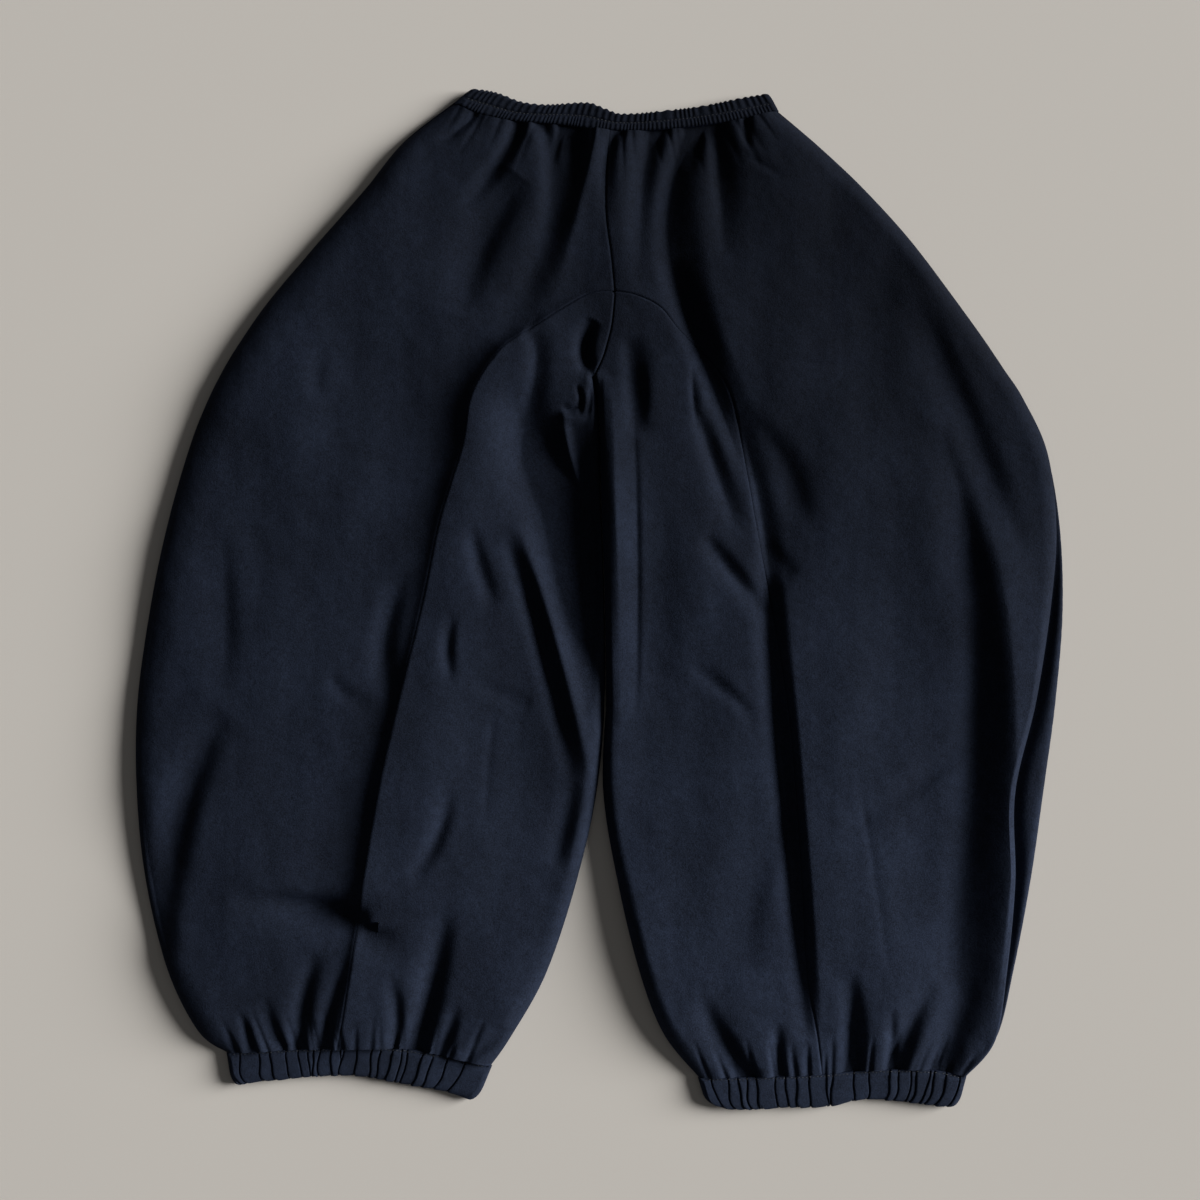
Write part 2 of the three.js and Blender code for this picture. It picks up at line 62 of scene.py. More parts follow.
def table(names, *rows):
    """Rows of a table as dictionaries, one value for each named column."""
    keys = names.split()
    return [dict(zip(keys, row)) for row in rows]


# Sections across the laid garment, one row each, from the waist to the cuffs. Above the arch the
# seam is the centre seam, and down to the crotch so is the inner edge. Garment millimetres.
ARCH = 4
CROTCH = 10
SECTIONS = table(
    "rightSideX rightSideY rightSeamX rightSeamY rightInnerX rightInnerY "
    "leftInnerX leftInnerY leftSeamX leftSeamY leftSideX leftSideY leftBackX leftBackY",
    (-147, 496, 10, 469, 10, 469, 10, 469, 10, 469, 178, 488, 178, 488),
    (-196, 458, 6, 425, 6, 425, 6, 425, 6, 425, 216, 456, 216, 456),
    (-232, 415, 6, 382, 6, 382, 6, 382, 6, 382, 250, 425, 250, 425),
    (-260, 383, 11, 342, 11, 342, 11, 342, 11, 342, 280, 394, 280, 394),
    (-283, 357, 14, 307, 14, 307, 14, 307, 14, 307, 305, 366, 305, 366),
    (-300, 337, -10, 305, 14, 300, 14, 300, 36, 303, 325, 341, 325, 341),
    (-318, 316, -37, 290, 13, 288, 13, 288, 60, 291, 343, 317, 343, 317),
    (-338, 291, -66, 271, 11, 272, 11, 272, 78, 270, 363, 290, 363, 290),
    (-358, 262, -94, 253, 7, 256, 7, 256, 99, 250, 384, 261, 384, 261),
    (-376, 233, -115, 227, 2, 240, 2, 240, 118, 228, 405, 230, 405, 230),
    (-394, 197, -129, 198, -7, 222, -7, 222, 131, 202, 424, 201, 424, 201),
    (-411, 153, -137, 152, -1, 180, -1, 180, 142, 154, 448, 148, 448, 148),
    (-432, 80, -159, 80, 1, 100, 1.2, 100, 156, 75, 457, 75, 461, 75),
    (-449, 0, -176, 0, 4, 10, 4.4, 10, 171, -5, 452, 0, 464, -10),
    (-463, -100, -200, -100, 4.9, -95, 5.9, -95, 187, -105, 436, -100, 457, -100),
    (-464, -190, -220, -190, -3, -190, 3, -190, 195, -190, 414, -192, 445, -190),
    (-455, -280, -235, -280, -24, -284, 18, -284, 201, -280, 414, -281, 432, -280),
    (-433, -370, -248, -370, -54, -374, 40, -374, 206, -371, 406, -371, 415, -370),
    (-402, -432, -257, -424, -89, -437, 64, -435, 216, -430, 395, -440, 398, -438),
    (-373, -453, -262, -449, -109, -466, 99, -478, 222, -474, 366, -477, 367, -477),
)
LAST = len(SECTIONS) - 1

# How high the front stands over its edges along the garment
LOFT = table(
    "y rise",
    *((-480, 8), (-440, 14), (-380, 17), (-200, 15), (0, 14), (200, 15), (350, 17), (440, 14), (500, 8)),
)
# How wide the front rounds off, along each leg's side and along its inner edge
SIDE_ROLL = {
    "right": table("y width", (-470, 26), (0, 34), (300, 38), (490, 14)),
    "left": table("y width", (-470, 4), (-200, 4), (-100, 9), (100, 18), (490, 18)),
}
INNER_ROLL = {
    "right": table("y width", (-470, 18), (-200, 14), (-60, 10), (190, 8)),
    "left": table("y width", (-470, 18), (-200, 12), (-60, 7), (190, 5)),
}
# Lower and upper lines of the waistband and of the cuffs, and where along X each line ends
WAIST_LOWER = table(
    "x y",
    *((-147, 497), (-125, 487), (-90, 479), (-40, 475), (0, 470), (40, 469), (90, 473)),
    *((140, 480), (179, 489)),
)
WAIST_UPPER = table(
    "x y",
    *((-130, 511), (-105, 507), (-80, 498), (-55, 495), (-12, 497), (5, 491), (20, 486)),
    *((65, 489), (105, 494), (145, 502), (170, 506)),
)
CUFF_UPPER = {
    "right": table("x y", (-374, -453), (-286, -449), (-196, -449), (-108, -466)),
    "left": table("x y", (98, -478), (160, -477), (210, -475), (281, -470), (339, -471), (367, -477)),
}
CUFF_LOWER = {
    "right": table(
        "x y", (-369, -485), (-345, -481), (-250, -475), (-196, -483), (-145, -492), (-122, -500)
    ),
    "left": table(
        "x y",
        *((106, -504), (125, -509), (185, -507), (225, -506), (265, -499), (305, -501), (359, -507)),
    ),
}
WAIST_ENDS = {"lower": (-147, 179), "upper": (-130, 170)}
CUFF_ENDS = {
    "right": {"upper": (-374, -108), "lower": (-369, -122)},
    "left": {"upper": (98, 367), "lower": (106, 359)},
}
# Where along X the lines of the cuffs' pleats meet the legs
PLEATS = {
    "right": (
        *(-361, -341, -330, -314, -302, -292, -286, -280, -269, -260, -256, -243, -228, -219),
        *(-206, -198, -192, -176, -167, -151, -134),
    ),
    "left": (
        *(110, 127, 138, 146, 156, 175, 185, 196, 209, 225, 232, 253, 269, 290, 299, 311, 317),
        *(330, 335, 347, 360),
    ),
}

# Folds of the front: three points along each, from the waist end; depth (under 0 a ridge); width of
# its flank on the viewer's left and of the one on the right; crisp, from a soft trough at 0 to a
# pressed crease at 1; and gathered, -1 or 1 where its start or end lies at full depth in a
# gathered seam
FOLD_COLUMNS = "startX startY midX midY endX endY depth west east crisp gathered"
FOLDS = table(
    FOLD_COLUMNS,
    # right outer panel, from the waist down
    (-81, 474, -98, 440, -141, 385, 12, 9, 9, 0.1, -1),
    (-78, 420, -113, 362, -142, 285, 9, 36, 16, 0, 0),
    (-58, 474, -48, 430, -57, 355, 10, 10, 11, 0.1, -1),
    (-38, 474, -42, 455, -47, 434, 6, 5, 5, 0.2, -1),
    (-3, 474, -15, 415, -50, 290, -6.5, 18, 8, 0.35, -1),
    (-27, 474, -42, 380, -104, 255, 12, 17, 17, 0, -1),
    (-126, 484, -140, 470, -163, 455, 6, 5, 6, 0.3, -1),
    (-276, 254, -281, 225, -283, 196, 2, 10, 9, 0, 0),
    (-381, 68, -374, -12, -378, -92, 5, 30, 13, 0, 0),
    (-376, -112, -418, -222, -438, -358, 9.5, 24, 15, 0, 0),
    (-193, 29, -215, -45, -202, -92, 7.5, 13, 12, 0.1, 0),
    (-271, -74, -250, -95, -228, -103, 3.5, 6, 5, 0.3, 0),
    (-372, -298, -300, -303, -240, -318, 14, 26, 10, 0.1, 1),
    (-236, -327, -218, -336, -190, -358, 2.5, 18, 14, 0, 0),
    (-334, -392, -327, -424, -318, -446, 7, 12, 7, 0.1, 1),
    (-279, -350, -293, -389, -301, -446, 9, 10, 9, 0.1, 1),
    (-248, -352, -265, -395, -276, -446, 7.5, 8, 7, 0.2, 1),
    (-356, -412, -352, -430, -349, -448, 5, 6, 5, 0.2, 1),
    # right inner panel
    (-76, 266, -63, 236, -80, 168, 7, 9, 14, 0.2, 0),
    (-5, 277, -15, 250, -7, 224, 15, 9, 7, 0.3, 0),
    (-92, 214, -46, 76, 6, -108, 20, 26, 38, 0.2, 0),
    (-37, 190, -28, 140, -9, 88, -9, 12, 6, 0.4, 0),
    (-40, 186, -28, 180, -14, 184, -5, 4, 4, 0.5, 0),
    (-38, 194, -27, 190, -18, 200, 5, 3, 3, 0.4, 0),
    (-24, 214, -19, 200, -21, 184, 6, 3, 3, 0.4, 0),
    (-11, 214, -9, 200, -13, 184, 6, 3, 3, 0.4, 0),
    (-129, 73, -119, 32, -104, -8, 5.5, 9, 9, 0, 0),
    (-84, 80, -46, -30, -10, -178, -10, 13, 9, 0.2, 0),
    (-92, 62, -60, -35, -26, -178, 11, 10, 13, 0, 0),
    (-146, -15, -151, -50, -146, -79, 5, 8, 6, 0.1, 0),
    (-129, -82, -92, -96, -68, -103, 3.5, 6, 6, 0.2, 0),
    (-25, -174, -36, -231, -46, -264, 4.5, 12, 9, 0, 0),
    (-189, -274, -163, -240, -150, -189, 5, 8, 10, 0, 0),
    (-211, -374, -202, -406, -205, -446, 8, 9, 7, 0.1, 1),
    (-153, -306, -164, -371, -184, -452, 14, 14, 11, 0.1, 1),
    (-142, -402, -149, -428, -159, -454, 7, 8, 6, 0.1, 1),
    (-96, -425, -110, -442, -140, -456, 5, 10, 9, 0, 0),
    # left outer panel, from the waist down
    (18, 468, 7, 438, 5, 370, 8, 7, 8, 0.2, -1),
    (56, 470, 42, 408, 42, 305, 13, 14, 14, 0.1, -1),
    (95, 474, 68, 345, 128, 205, 14, 14, 19, 0.4, -1),
    (70, 340, 100, 245, 152, 110, 10, 10, 15, 0.35, 0),
    (108, 420, 118, 290, 172, 168, -8, 20, 70, 0, 0),
    (91, 474, 97, 455, 86, 428, 6, 7, 8, 0.2, -1),
    (146, 184, 186, 130, 200, 78, 5, 22, 13, 0, 0),
    (134, 190, 164, 70, 170, -60, 7, 8, 13, 0.2, 0),
    (160, 62, 182, 34, 190, 20, 3.5, 12, 10, 0, 0),
    (115, 478, 119, 420, 124, 335, 11, 9, 15, 0.3, -1),
    (146, 484, 146, 465, 149, 448, 6, 5, 5, 0.2, -1),
    (311, 299, 362, 190, 419, 41, 6.5, 26, 14, 0, 0),
    (335, 175, 360, 95, 376, 3, 5.5, 26, 12, 0, 0),
    (376, 110, 412, -120, 386, -440, -13, 22, 60, 0.25, 0),
    (368, 60, 374, -130, 348, -400, 9, 20, 18, 0, 0),
    (247, -368, 253, -424, 253, -474, 13, 12, 9, 0.1, 1),
    (289, -403, 291, -435, 292, -470, 7, 7, 6, 0.2, 1),
    (331, -380, 310, -425, 297, -470, 10, 14, 10, 0, 1),
    (374, -345, 358, -415, 338, -470, 9, 18, 15, 0, 1),
    # the left arched seam lies in a valley below the knee, with the outer panel's ridge beside it
    (158, 50, 185, -200, 206, -440, 10, 12, 11, 0.2, 0),
    (182, 40, 204, -200, 221, -430, -9.5, 11, 85, 0.1, 0),
    (185, -212, 152, -290, 148, -380, 5, 30, 20, 0, 0),
    # left inner panel
    (27, 262, 34, 215, 36, 162, 6, 10, 13, 0, 0),
    (46, 240, 50, 205, 47, 172, -3, 7, 20, 0.1, 0),
    (92, 236, 93, 202, 98, 165, 4, 4, 7, 0.5, 0),
    (98, 188, 112, 142, 137, 70, 8, 9, 12, 0.2, 0),
    (102, 63, 128, 33, 167, -15, 7.5, 11, 9, 0.2, 0),
    (4, 222, 5, 50, 9, -125, -21, 5, 32, 0.2, 0),
    (33, 195, 38, 40, 36, -118, 3.5, 26, 4, 0.7, 0),
    (91, -69, 120, -86, 156, -121, 4, 6, 6, 0.2, 0),
    (99, -396, 121, -436, 148, -476, 12, 13, 10, 0.1, 1),
    (176, -420, 178, -445, 180, -474, 7, 8, 6, 0.1, 1),
    # faint wrinkles and press lines
    (43, -69, 65, -76, 87, -79, 1.5, 4, 4, 0.4, 0),
    (166, 240, 220, 234, 273, 234, 1, 4, 5, 0.5, 0),
    (231, -89, 297, -92, 363, -89, 1, 4, 5, 0.5, 0),
    (362, -146, 318, -182, 242, -226, 3, 12, 10, 0, 0),
    (256, -181, 268, -246, 290, -389, 1, 5, 6, 0.3, 0),
    (-104, -110, -111, -160, -114, -231, 1.2, 5, 5, 0.3, 0),
    (142, 445, 165, 430, 182, 420, 1.4, 5, 6, 0.3, 0),
    (60, 240, 80, 244, 96, 250, 2, 5, 6, 0.4, 0),
)

# Broad swellings of the cloth, and hollows with a height under 0: place, reach and height
FORMS = table(
    "x y reachX reachY height",
    (-345, 230, 115, 230, 5),
    (325, 370, 150, 150, 8),
    (-128, 60, 40, 160, 4),
    (-330, -210, 110, 170, 3),
    (70, -300, 70, 110, 2.5),
    (-268, -306, 46, 13, -9),
    (-68, 150, 30, 52, -12),
    (-23, 56, 18, 86, -20),
)

# How far the inner panel stands over the outer one along each arched seam, and how far from the seam
# the outer one starts to rise to it
ARCH_STEPS = {
    "right": table(
        "y rise reach",
        *((-450, 2, 5), (-340, 8, 7), (-300, 12, 8), (-250, 11, 6), (-100, 10, 6), (-20, 5, 6)),
        *((90, 8, 8), (240, 12, 9), (305, 4, 9)),
    ),
    "left": table("y rise reach", (-450, 0.3, 9), (0, 0.5, 9), (305, 1.2, 9)),
}

# Gaps between pieces, mm: half of one at a seam, and one between a panel and a casing
HALF_SEAM_GAP = 0.15
CASING_GAP = 0.3

# Folds and swells fade out over these widths towards a side and an inner edge, mm, but folds keep
# this share of their depth there
FADE_SIDE = 8
FADE_INNER = 14
KEPT_AT_EDGE = 0.35
# How far from its arched seam an inner panel starts to rise, and the least that the front stands
# above lying flat, mm
INNER_REACH = 80
LEAST_RISE = 0.15

# The back layer where it shows beside the front: its rise, how far from the front's edge it takes,
# how wide it rounds off, and how far under the front its own columns of points reach, mm
PUFF = 7
PUFF_REACH = 9
PUFF_ROLL = 8
TUCKED_UNDER = 1.5
# A back panel's edge thins by this share of the cloth on each face, over this width in mm
EDGE_THINNING = 0.45
EDGE_WIDTH = 2.5


def smooth_curve(rows, x, key="x", value="y"):
    """Smooth curve through a table's points, at the places x."""
    keys = np.array([row[key] for row in rows], float)
    values = np.array([row[value] for row in rows], float)
    slopes = np.empty(len(keys))
    slopes[1:-1] = (values[2:] - values[:-2]) / (keys[2:] - keys[:-2])
    slopes[0] = (values[1] - values[0]) / (keys[1] - keys[0])
    slopes[-1] = (values[-1] - values[-2]) / (keys[-1] - keys[-2])
    at = np.clip(x, keys[0], keys[-1])
    i = np.clip(np.searchsorted(keys, at, side="right") - 1, 0, len(keys) - 2)
    span = keys[i + 1] - keys[i]
    t = (at - keys[i]) / span
    ease = t * t * (3 - 2 * t)
    straight = values[i] * (1 - ease) + values[i + 1] * ease
    return straight + span * (slopes[i] * t * (1 - t) ** 2 - slopes[i + 1] * t * t * (1 - t))


def spline(points, t):
    """Catmull-Rom spline through the points, with t in steps of one from point to point."""
    points = np.asarray(points, float)
    i = np.clip(np.floor(t).astype(int), 0, len(points) - 2)
    w = (t - i)[:, None]
    p0 = points[np.maximum(i - 1, 0)]
    p1, p2 = points[i], points[i + 1]
    p3 = points[np.minimum(i + 2, len(points) - 1)]
    v0, v1 = (p2 - p0) / 2, (p3 - p1) / 2
    return (
        (2 * p1 - 2 * p2 + v0 + v1) * w**3 + (-3 * p1 + 3 * p2 - 2 * v0 - v1) * w**2 + v0 * w + p1
    )


def edge_of(name, stations, corners):
    """One edge of the garment at the stations. It may turn sharply at the sections in corners."""
    made = np.zeros((len(stations), 2))
    for start, stop in zip(corners, corners[1:]):
        points = [(row[name + "X"], row[name + "Y"]) for row in SECTIONS[start : stop + 1]]
        here = (stations >= start) & (stations <= stop)
        made[here] = spline(points, stations[here] - start)
    return made


def moved_sideways(path, distance):
    """A path moved to the left of its direction for a distance over 0."""
    along = np.diff(path, axis=0)
    along /= np.linalg.norm(along, axis=1)[:, None]
    normals = np.stack([-along[:, 1], along[:, 0]], axis=1)
    before = np.vstack([normals[:1], normals])
    after = np.vstack([normals, normals[-1:]])
    mitre = (before + after) / (1 + (before * after).sum(axis=1))[:, None]
    return path + mitre * distance


def nearest(path, x, y):
    """Distance to a path, how far along it the nearest point lies, and 1 or -1 for the side."""
    best = np.full(x.shape, np.inf)
    along = np.zeros(x.shape)
    side = np.ones(x.shape)
    for i, (a, b) in enumerate(zip(path, path[1:])):
        dx, dy = b - a
        px, py = x - a[0], y - a[1]
        t = np.clip((px * dx + py * dy) / (dx * dx + dy * dy + 1e-12), 0, 1)
        distance = np.hypot(px - dx * t, py - dy * t)
        closer = distance < best
        best[closer] = distance[closer]
        along[closer] = ((i + t) / (len(path) - 1))[closer]
        side[closer] = np.sign(dx * py - dy * px)[closer]
    return best, along, side


def fold_path(fold):
    """Points of a curve through a fold's three points."""
    count = 12
    start = np.array([fold["startX"], fold["startY"]], float)
    middle = np.array([fold["midX"], fold["midY"]], float)
    end = np.array([fold["endX"], fold["endY"]], float)
    control = 2 * middle - (start + end) / 2
    t = np.linspace(0, 1, count + 1)[:, None]
    return start * (1 - t) ** 2 + 2 * control * t * (1 - t) + end * t**2


def fold_depths(folds, x, y):
    """How far all the folds press the cloth down at each point."""
    widths_followed, overshoot, crease_steepness, fullness = 3, 0.25, 1.7, 0.7
    total = np.zeros(x.shape)
    for fold in folds:
        path = fold_path(fold)
        reach = widths_followed * max(fold["west"], fold["east"])
        near = (x > path[:, 0].min() - reach) & (x < path[:, 0].max() + reach)
        near &= (y > path[:, 1].min() - reach) & (y < path[:, 1].max() + reach)
        if not near.any():
            continue
        distance, along, side = nearest(path, x[near], y[near])
        across = distance / np.where(side > 0, fold["east"], fold["west"])
        soft = (1 - overshoot * across**2) * np.exp(-(across**2))
        crease = np.exp(-crease_steepness * across)
        profile = soft * (1 - fold["crisp"]) + crease * fold["crisp"]
        toward = along if fold["gathered"] > 0 else 1 - along
        free = np.clip(np.sin(math.pi * along), 0, 1) ** fullness
        strength = np.sin(math.pi / 2 * toward) if fold["gathered"] else free
        total[near] += fold["depth"] * strength * profile
    return total


def waist_gathers():
    """Short gathers that the waistband draws into the cloth below it."""
    draw = random.Random(11)
    first, last, middle = -138.0, 172, 12
    below_seam, fan = 3, 0.0042
    rows = []
    x = first
    while x < last:
        start_y = smooth_curve(WAIST_LOWER, x) + below_seam
        length = draw.uniform(16, 62)
        end_x = x + (x - middle) * length * fan + draw.uniform(-3, 3)
        mid_x = (x + end_x) / 2 + draw.uniform(-2, 2)
        depth, west, east = draw.uniform(0.6, 1.8), draw.uniform(2, 4.5), draw.uniform(2, 4.5)
        line = (x, start_y, mid_x, start_y - length / 2, end_x, start_y - length)
        rows.append((*line, depth, west, east, 0.2, -1))
        x += draw.uniform(6, 16)
    return table(FOLD_COLUMNS, *rows)


def cuff_gathers(leg):
    """Gathers that each pleat of a cuff draws into the leg above it."""
    draw = random.Random(5 if leg == "right" else 6)
    left, right = CUFF_ENDS[leg]["upper"]
    over_seam, fan = 3, 0.0036
    rows = []
    for x in PLEATS[leg]:
        end_y = smooth_curve(CUFF_UPPER[leg], x) - over_seam
        length = draw.uniform(14, 52)
        start_x = x + (x - (left + right) / 2) * length * fan + draw.uniform(-3, 3)
        depth, west, east = draw.uniform(1.8, 3.6), draw.uniform(2.4, 5), draw.uniform(2.2, 4)
        line = (start_x, end_y + length, (x + start_x) / 2, end_y + length / 2, x, end_y)
        rows.append((*line, depth, west, east, 0.25, 1))
    return table(FOLD_COLUMNS, *rows)


ALL_FOLDS = FOLDS + waist_gathers() + cuff_gathers("right") + cuff_gathers("left")


def soft_waves(x, y):
    """Low uneven swells of relaxed cloth: wavelength along X and Y, and height."""
    draw = random.Random(3)
    total = np.zeros(x.shape)
    swells = table(
        "across down height count",
        *((170, 330, 0.8, 4), (80, 190, 0.26, 5), (34, 90, 0.05, 6), (15, 30, 0.012, 8)),
    )
    for swell in swells:
        for _ in range(swell["count"]):
            turn = draw.uniform(-0.5, 0.5)
            across = x * math.cos(turn) + y * math.sin(turn)
            down = y * math.cos(turn) - x * math.sin(turn)
            a = across / swell["across"] * draw.uniform(0.7, 1.4)
            b = down / swell["down"] * draw.uniform(0.7, 1.4) * draw.choice((-1, 1))
            total += swell["height"] * np.sin(2 * math.pi * (a + b) + draw.uniform(0, 6.28))
    return total


# Where the panels have points along the garment, in sections: first, last and how many
RUNS = (
    *((0, 1, 34), (1, ARCH, 60), (ARCH + 0.15, ARCH + 0.15, 1), (ARCH + 0.3, CROTCH, 62)),
    *((CROTCH, 17, 120), (17, 18, 22), (18, LAST, 26)),
)
STATIONS = np.unique(np.concatenate([np.linspace(*run) for run in RUNS]))
EDGES = {}
for leg in LEGS:
    EDGES[leg] = {
        "side": edge_of(leg + "Side", STATIONS, (0, LAST)),
        "back": edge_of("leftBack" if leg == "left" else "rightSide", STATIONS, (0, LAST)),
        "seam": edge_of(leg + "Seam", STATIONS, (0, ARCH, LAST)),
        "inner": edge_of(leg + "Inner", STATIONS, (0, CROTCH, LAST)),
    }


def rolled(distance, width):
    """From 0 at an edge to 1 at the width's distance from it, along a quarter circle."""
    return np.sqrt(1 - (1 - np.minimum(distance / width, 1)) ** 2)


def front_height(leg, x, y, panel, sizes):
    """Height of the front's outer face over the surface that the garment lies on."""
    edges = EDGES[leg]
    base = sizes.cloth + sizes.seam_gap
    rise = smooth_curve(LOFT, y, "y", "rise")
    side = nearest(edges["side"], x, y)[0]
    inner = nearest(edges["inner"][STATIONS >= CROTCH][::3], x, y)[0]
    inner_width = smooth_curve(INNER_ROLL[leg], y, "y", "width")
    side_width = smooth_curve(SIDE_ROLL[leg], y, "y", "width")
    body = rolled(side, side_width) * rolled(inner, inner_width)
    free = np.minimum(1, np.minimum(side / FADE_SIDE, inner / FADE_INNER))
    for form in FORMS:
        apart = ((x - form["x"]) / form["reachX"]) ** 2 + ((y - form["y"]) / form["reachY"]) ** 2
        rise = rise + form["height"] * np.exp(-apart)
    height = base + sizes.cloth + rise * body
    height -= fold_depths(ALL_FOLDS, x, y) * (KEPT_AT_EDGE + (1 - KEPT_AT_EDGE) * free)
    height += soft_waves(x, y) * free
    centre = edges["inner"][STATIONS <= CROTCH][::2]
    arch = edges["seam"][STATIONS >= ARCH][::2]
    from_arch = nearest(arch, x, y)[0]
    for distance in (nearest(centre, x, y)[0], from_arch):
        height -= sizes.seam_depth * np.exp(-((distance / sizes.seam_width) ** 2))
    step = smooth_curve(ARCH_STEPS[leg], y, "y", "rise")
    reach = smooth_curve(ARCH_STEPS[leg], y, "y", "reach")
    fall = (from_arch / INNER_REACH) ** 2 if panel == "inner" else from_arch / reach
    height += step * np.exp(-fall)
    return np.maximum(height, base + sizes.cloth + LEAST_RISE)


def origin_offset():
    """From garment millimetres to the frame: where two known corners of the solids lie."""
    waist_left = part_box("waistband")[0].x / MM - WAIST_ENDS["lower"][0]
    top = smooth_curve(WAIST_LOWER, SECTIONS[0]["leftSideX"]) - CASING_GAP
    return np.array([waist_left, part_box("back_outer_left")[1].y / MM - top, 0.0])


OFFSET = origin_offset()
# Faces that meet at less than this angle are shaded as one surface
SMOOTH_BELOW = math.radians(50)


def mesh_object(name, points, faces):
    """A linked and selected object, of points in garment millimetres."""
    mesh = bpy.data.meshes.new(name)
    mesh.from_pydata(((points + OFFSET) * MM).tolist(), [], faces)
    mesh.update()
    made = bpy.data.objects.new(name, mesh)
    bpy.context.scene.collection.objects.link(made)
    bpy.ops.object.select_all(action="DESELECT")
    made.select_set(True)
    bpy.context.view_layer.objects.active = made
    return made


def wall_object(name, outer, inner, closed_around=False):
    """Closes a grid of outer points over a grid of inner ones into one smooth-shaded wall."""
    rows, columns = outer.shape[:2]
    points = np.concatenate([outer.reshape(-1, 3), inner.reshape(-1, 3)])
    here = np.arange(columns if closed_around else columns - 1)
    after = (here + 1) % columns
    down = np.arange(rows - 1)[:, None] * columns
    a, b = down + here, down + after
    c, d = b + columns, a + columns
    under = rows * columns
    foot = (rows - 1) * columns
    quads = [
        np.stack([a, b, c, d], axis=-1).reshape(-1, 4),
        np.stack([a, d, c, b], axis=-1).reshape(-1, 4) + under,
        np.stack([under + here, under + after, after, here], axis=-1),
        np.stack([foot + here, foot + after, under + foot + after, under + foot + here], axis=-1),
    ]
    if not closed_around:
        first = np.arange(rows - 1) * columns
        last = first + columns - 1
        quads.append(np.stack([first, first + columns, under + first + columns, under + first], axis=-1))
        quads.append(np.stack([under + last, under + last + columns, last + columns, last], axis=-1))
    faces = np.concatenate(quads)
    made = mesh_object(name, points, faces.tolist())
    if signed_volume(points, faces) < 0:
        made.data.flip_normals()
    bpy.ops.object.shade_smooth_by_angle(angle=SMOOTH_BELOW)
    return made


def signed_volume(points, faces):
    """Six times the volume within closed faces of four corners, under 0 where they face inwards."""
    a, b, c, d = (points[faces[:, i]] for i in range(4))
    first = np.einsum("ij,ij->i", a, np.cross(b, c)).sum()
    return first + np.einsum("ij,ij->i", a, np.cross(c, d)).sum()


def column_fractions(count):
    """Fractions across a panel, closer together near both of its edges."""
    crowding = 0.45
    t = np.linspace(0, 1, count)
    ends = (1 - np.cos(math.pi * t)) / 2
    return t * (1 - crowding) + ends * crowding


def panel_points(leg, start, end, stations, fractions):
    """Places of a panel's points between two of the garment's edges, with its ends on the casings."""
    grid = start[:, None, :] * (1 - fractions)[None, :, None] + end[:, None, :] * fractions[None, :, None]
    top, foot = grid[0].copy(), grid[-1].copy()
    near_waist = np.maximum(0, 1 - stations / 2)[:, None]
    near_cuff = np.maximum(0, 1 - (LAST - stations) / 2)[:, None]
    if stations[0] == 0:
        waist = smooth_curve(WAIST_LOWER, top[:, 0]) - CASING_GAP
        grid[:, :, 1] += near_waist * (waist - top[:, 1])[None, :]
    cuff = smooth_curve(CUFF_UPPER[leg], foot[:, 0]) + CASING_GAP
    grid[:, :, 1] += near_cuff * (cuff - foot[:, 1])[None, :]
    return grid


def panel_edges(leg, panel, side):
    """The two edges that a panel lies between, and the stations where it has points."""
    toward = 1 if leg == "right" else -1
    away = -toward if panel == "outer" else toward
    seam = moved_sideways(EDGES[leg]["seam"], away * HALF_SEAM_GAP)
    if panel == "outer":
        return EDGES[leg][side], seam, STATIONS
    inner_edge = moved_sideways(EDGES[leg]["inner"], -toward * HALF_SEAM_GAP)
    below = STATIONS > ARCH + 0.1
    return seam[below], inner_edge[below], STATIONS[below]


def front_panel(leg, panel, columns, sizes):
    """A front panel as a wall of even thickness, square to its slopes."""
    start, end, stations = panel_edges(leg, panel, "side")
    grid = panel_points(leg, start, end, stations, column_fractions(columns))
    x, y = grid[:, :, 0], grid[:, :, 1]
    step, steepest = 0.5, 2
    z = front_height(leg, x, y, panel, sizes)
    east = (front_height(leg, x + step, y, panel, sizes) - z) / step
    north = (front_height(leg, x, y + step, panel, sizes) - z) / step
    steepness = np.minimum(steepest, np.sqrt(1 + east**2 + north**2))
    under = np.maximum(sizes.cloth + sizes.seam_gap, z - sizes.cloth * steepness)
    return np.stack([x, y, z], axis=-1), np.stack([x, y, under], axis=-1)


def back_panel(leg, panel, columns, sizes):
    """A back panel, flat on what the garment lies on, and puffed up where no front lies over it."""
    start, end, stations = panel_edges(leg, panel, "back")
    grid = panel_points(leg, start, end, stations, column_fractions(columns))
    if leg == "left" and panel == "outer":
        # where the back shows beside the front, its columns follow the front's edge
        fold_line = moved_sideways(EDGES[leg]["side"], -TUCKED_UNDER)
        shown = panel_points(leg, start, fold_line, stations, np.linspace(0, 1, columns))
        covered = panel_points(leg, fold_line, end, stations, column_fractions(columns))
        grid = np.concatenate([shown, covered[:, 1:]], axis=1)
    x, y = grid[:, :, 0], grid[:, :, 1]
    edge = nearest(EDGES[leg]["back"][::3], x, y)[0]
    distance, _, side = nearest(EDGES[leg]["side"], x, y)
    outside = side < 0 if leg == "right" else side > 0
    beyond = np.where(outside, distance, 0)
    puff = PUFF * (1 - np.exp(-((beyond / PUFF_REACH) ** 2))) * rolled(edge, PUFF_ROLL)
    thinned = EDGE_THINNING * (1 - rolled(edge, EDGE_WIDTH))
    top = puff + sizes.cloth * (1 - thinned)
    low = puff + sizes.cloth * thinned
    return np.stack([x, y, top], axis=-1), np.stack([x, y, low], axis=-1)


